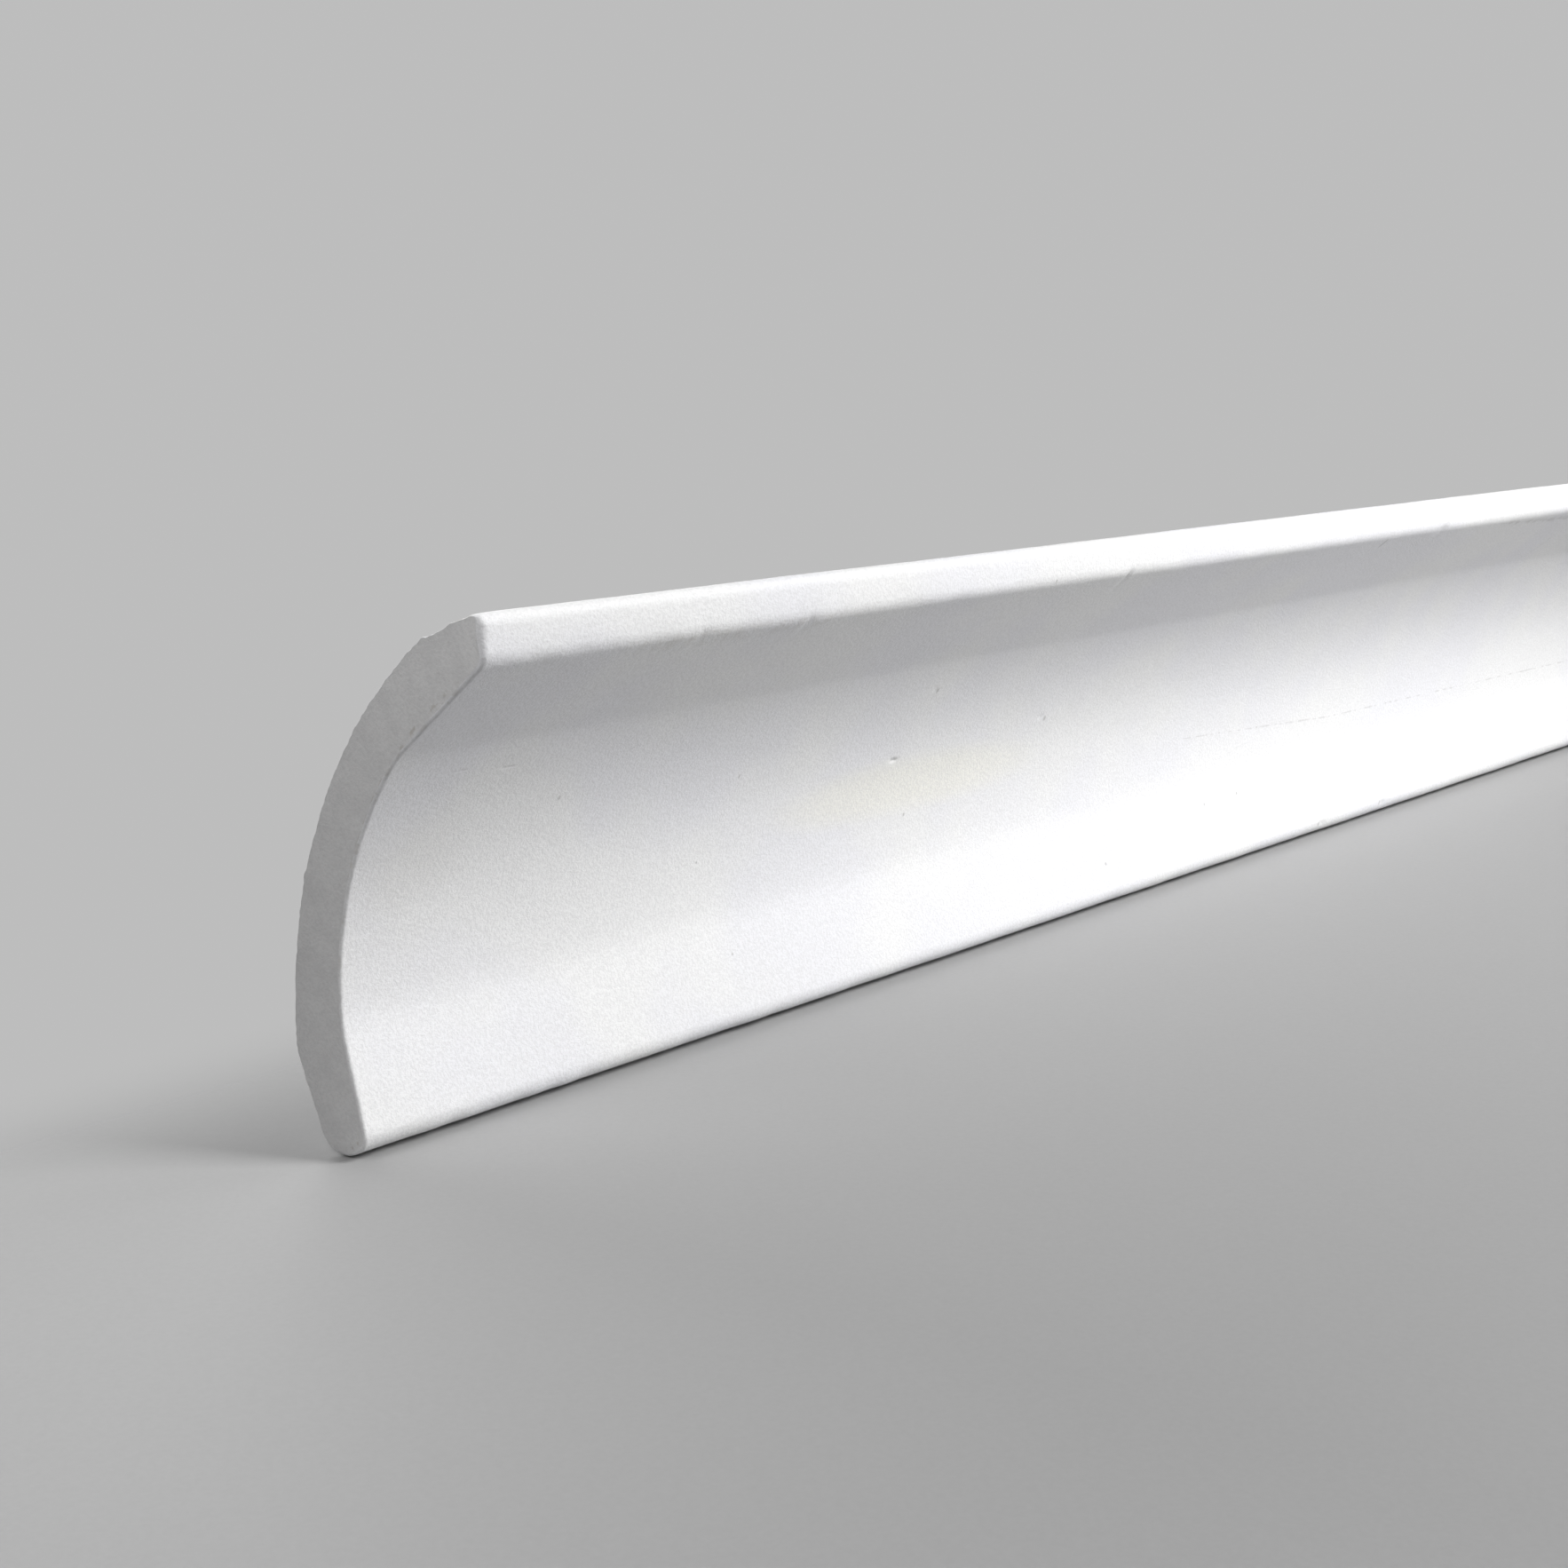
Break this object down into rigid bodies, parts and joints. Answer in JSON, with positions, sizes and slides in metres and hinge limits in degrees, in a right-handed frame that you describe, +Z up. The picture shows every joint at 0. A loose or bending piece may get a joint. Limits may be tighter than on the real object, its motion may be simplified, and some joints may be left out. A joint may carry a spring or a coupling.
{
  "type": "crown moulding length",
  "caption": "Straight cove crown moulding with a lip at the ceiling, a flat wall strip and ceiling strip behind, and square-cut ends.",
  "frame": {"origin": "middle of the flat wall strip, halfway along the length, on the face that meets the wall", "axes": "+X along the length, +Y into the wall, +Z up to the ceiling; the cove faces -Y and down"},
  "size_m": [1, 0.08, 0.08],
  "materials": {
    "foam": "matte, finely pebbled foam skin"
  },
  "bodies": {
    "root": {"moulding": "foam"}
  },
  "joints": []
}
